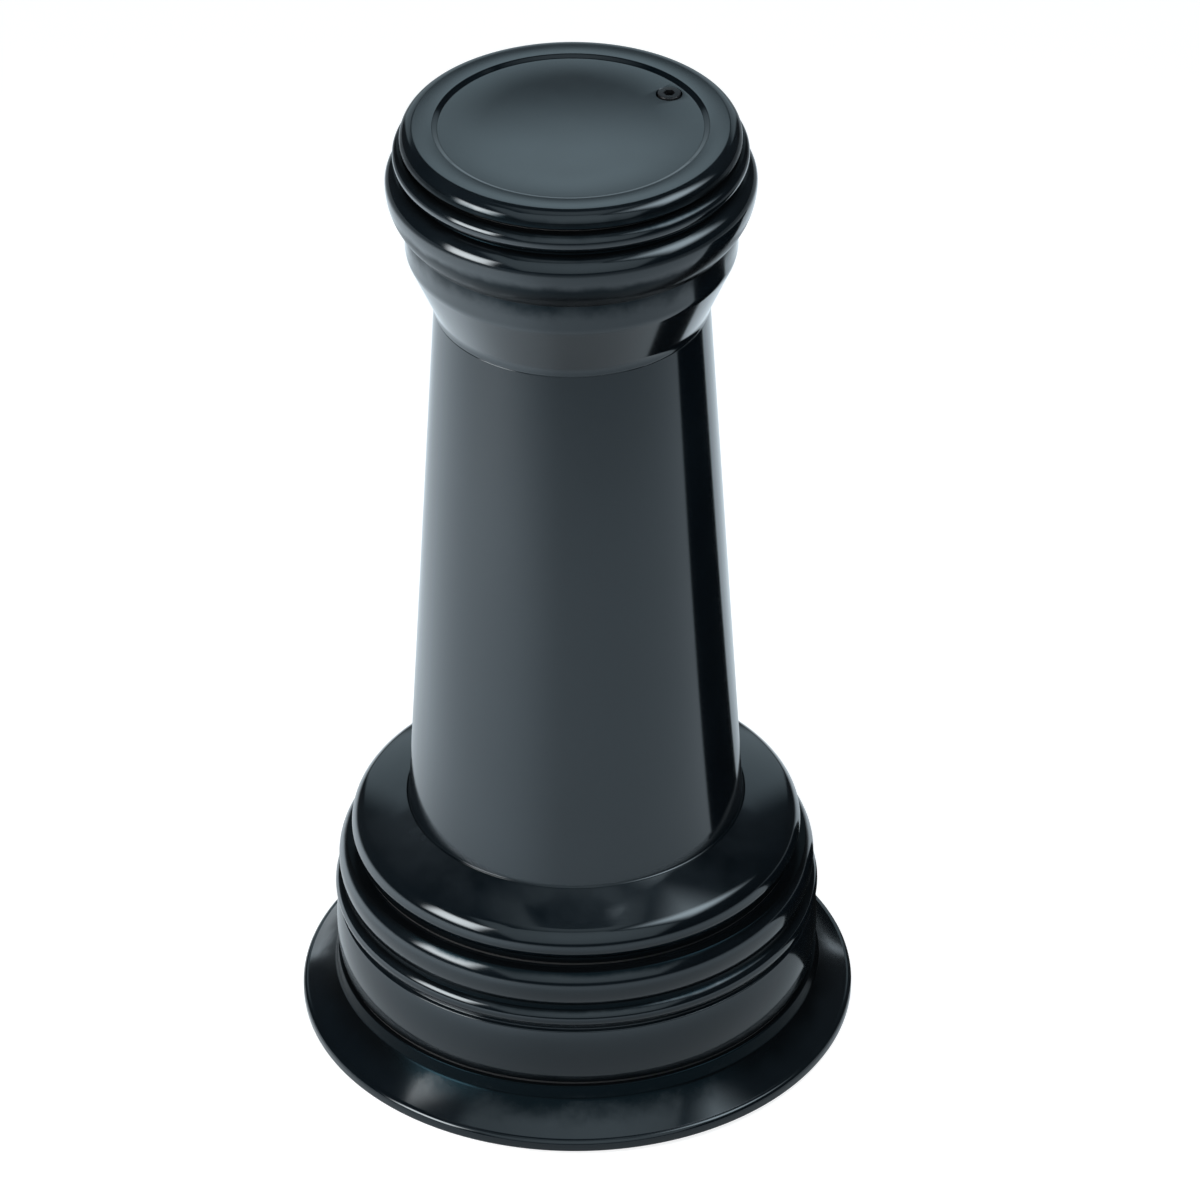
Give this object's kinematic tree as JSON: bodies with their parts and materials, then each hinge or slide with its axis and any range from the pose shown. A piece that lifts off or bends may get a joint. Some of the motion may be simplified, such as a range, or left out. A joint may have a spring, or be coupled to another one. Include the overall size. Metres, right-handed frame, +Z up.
{
  "type": "bollard post",
  "caption": "Round cast bollard post with a flared foot, moulded plinth, tapered hollow shaft, moulded head and a screwed-down lid.",
  "frame": {"origin": "on the post's axis at the underside of the bedding gasket, where the post stands", "axes": "+Z up along the post's axis, -Y towards the viewer; the lid screw lies 32 degrees from +X towards +Y"},
  "size_m": [0.327, 0.327, 0.6],
  "materials": {
    "black_casting": "gloss black paint over smooth cast iron",
    "gasket_rubber": "matt black rubber",
    "dowel_steel": "plain stainless steel",
    "galvanised_steel": "dull galvanised steel",
    "black_screw": "black oxide steel",
    "insert_brass": "plain brass"
  },
  "bodies": {
    "post": {"base_flange": "black_casting", "plinth_drum": "black_casting", "collar_ring": "black_casting", "shaft": "black_casting", "head_casting": "black_casting", "base_gasket": "gasket_rubber", "plinth_gasket": "gasket_rubber", "collar_gasket": "gasket_rubber", "foot_gasket": "gasket_rubber", "neck_gasket": "gasket_rubber", "lid_gasket": "gasket_rubber", "plinth_dowels": "dowel_steel", "collar_dowels": "dowel_steel", "foot_dowels": "dowel_steel", "neck_dowels": "dowel_steel", "bridge_bar": "galvanised_steel", "seat_ring": "galvanised_steel", "screw_pillar": "galvanised_steel", "tie_rod": "galvanised_steel", "rod_washer": "galvanised_steel", "rod_nut": "galvanised_steel", "rod_lock_nut": "galvanised_steel", "rod_foot_nut": "galvanised_steel", "lid_screw_insert": "insert_brass"},
    "lid": {"lid": "black_casting", "lid_register": "black_casting"},
    "lid_washer": {"lid_screw_washer": "dowel_steel"},
    "lid_screw": {"lid_screw": "black_screw"}
  },
  "joints": [
    {"name": "lid_lift", "type": "slide", "parent": "post", "child": "lid", "axis": [0, 0, 1], "range_m": [0, 0.12]},
    {"name": "screw_rise", "type": "slide", "parent": "lid", "child": "lid_washer", "axis": [0, 0, 1], "range_m": [0, 0.019]},
    {"name": "screw_turn", "type": "hinge", "parent": "lid_washer", "child": "lid_screw", "pos_m": [0.05512, 0.03445, 0.6], "axis": [0, 0, 1], "range_deg": [0, 5473]}
  ],
  "couplings": [
    {"joint": "screw_turn", "follows": "screw_rise", "rad_per_m": 5026.5}
  ]
}
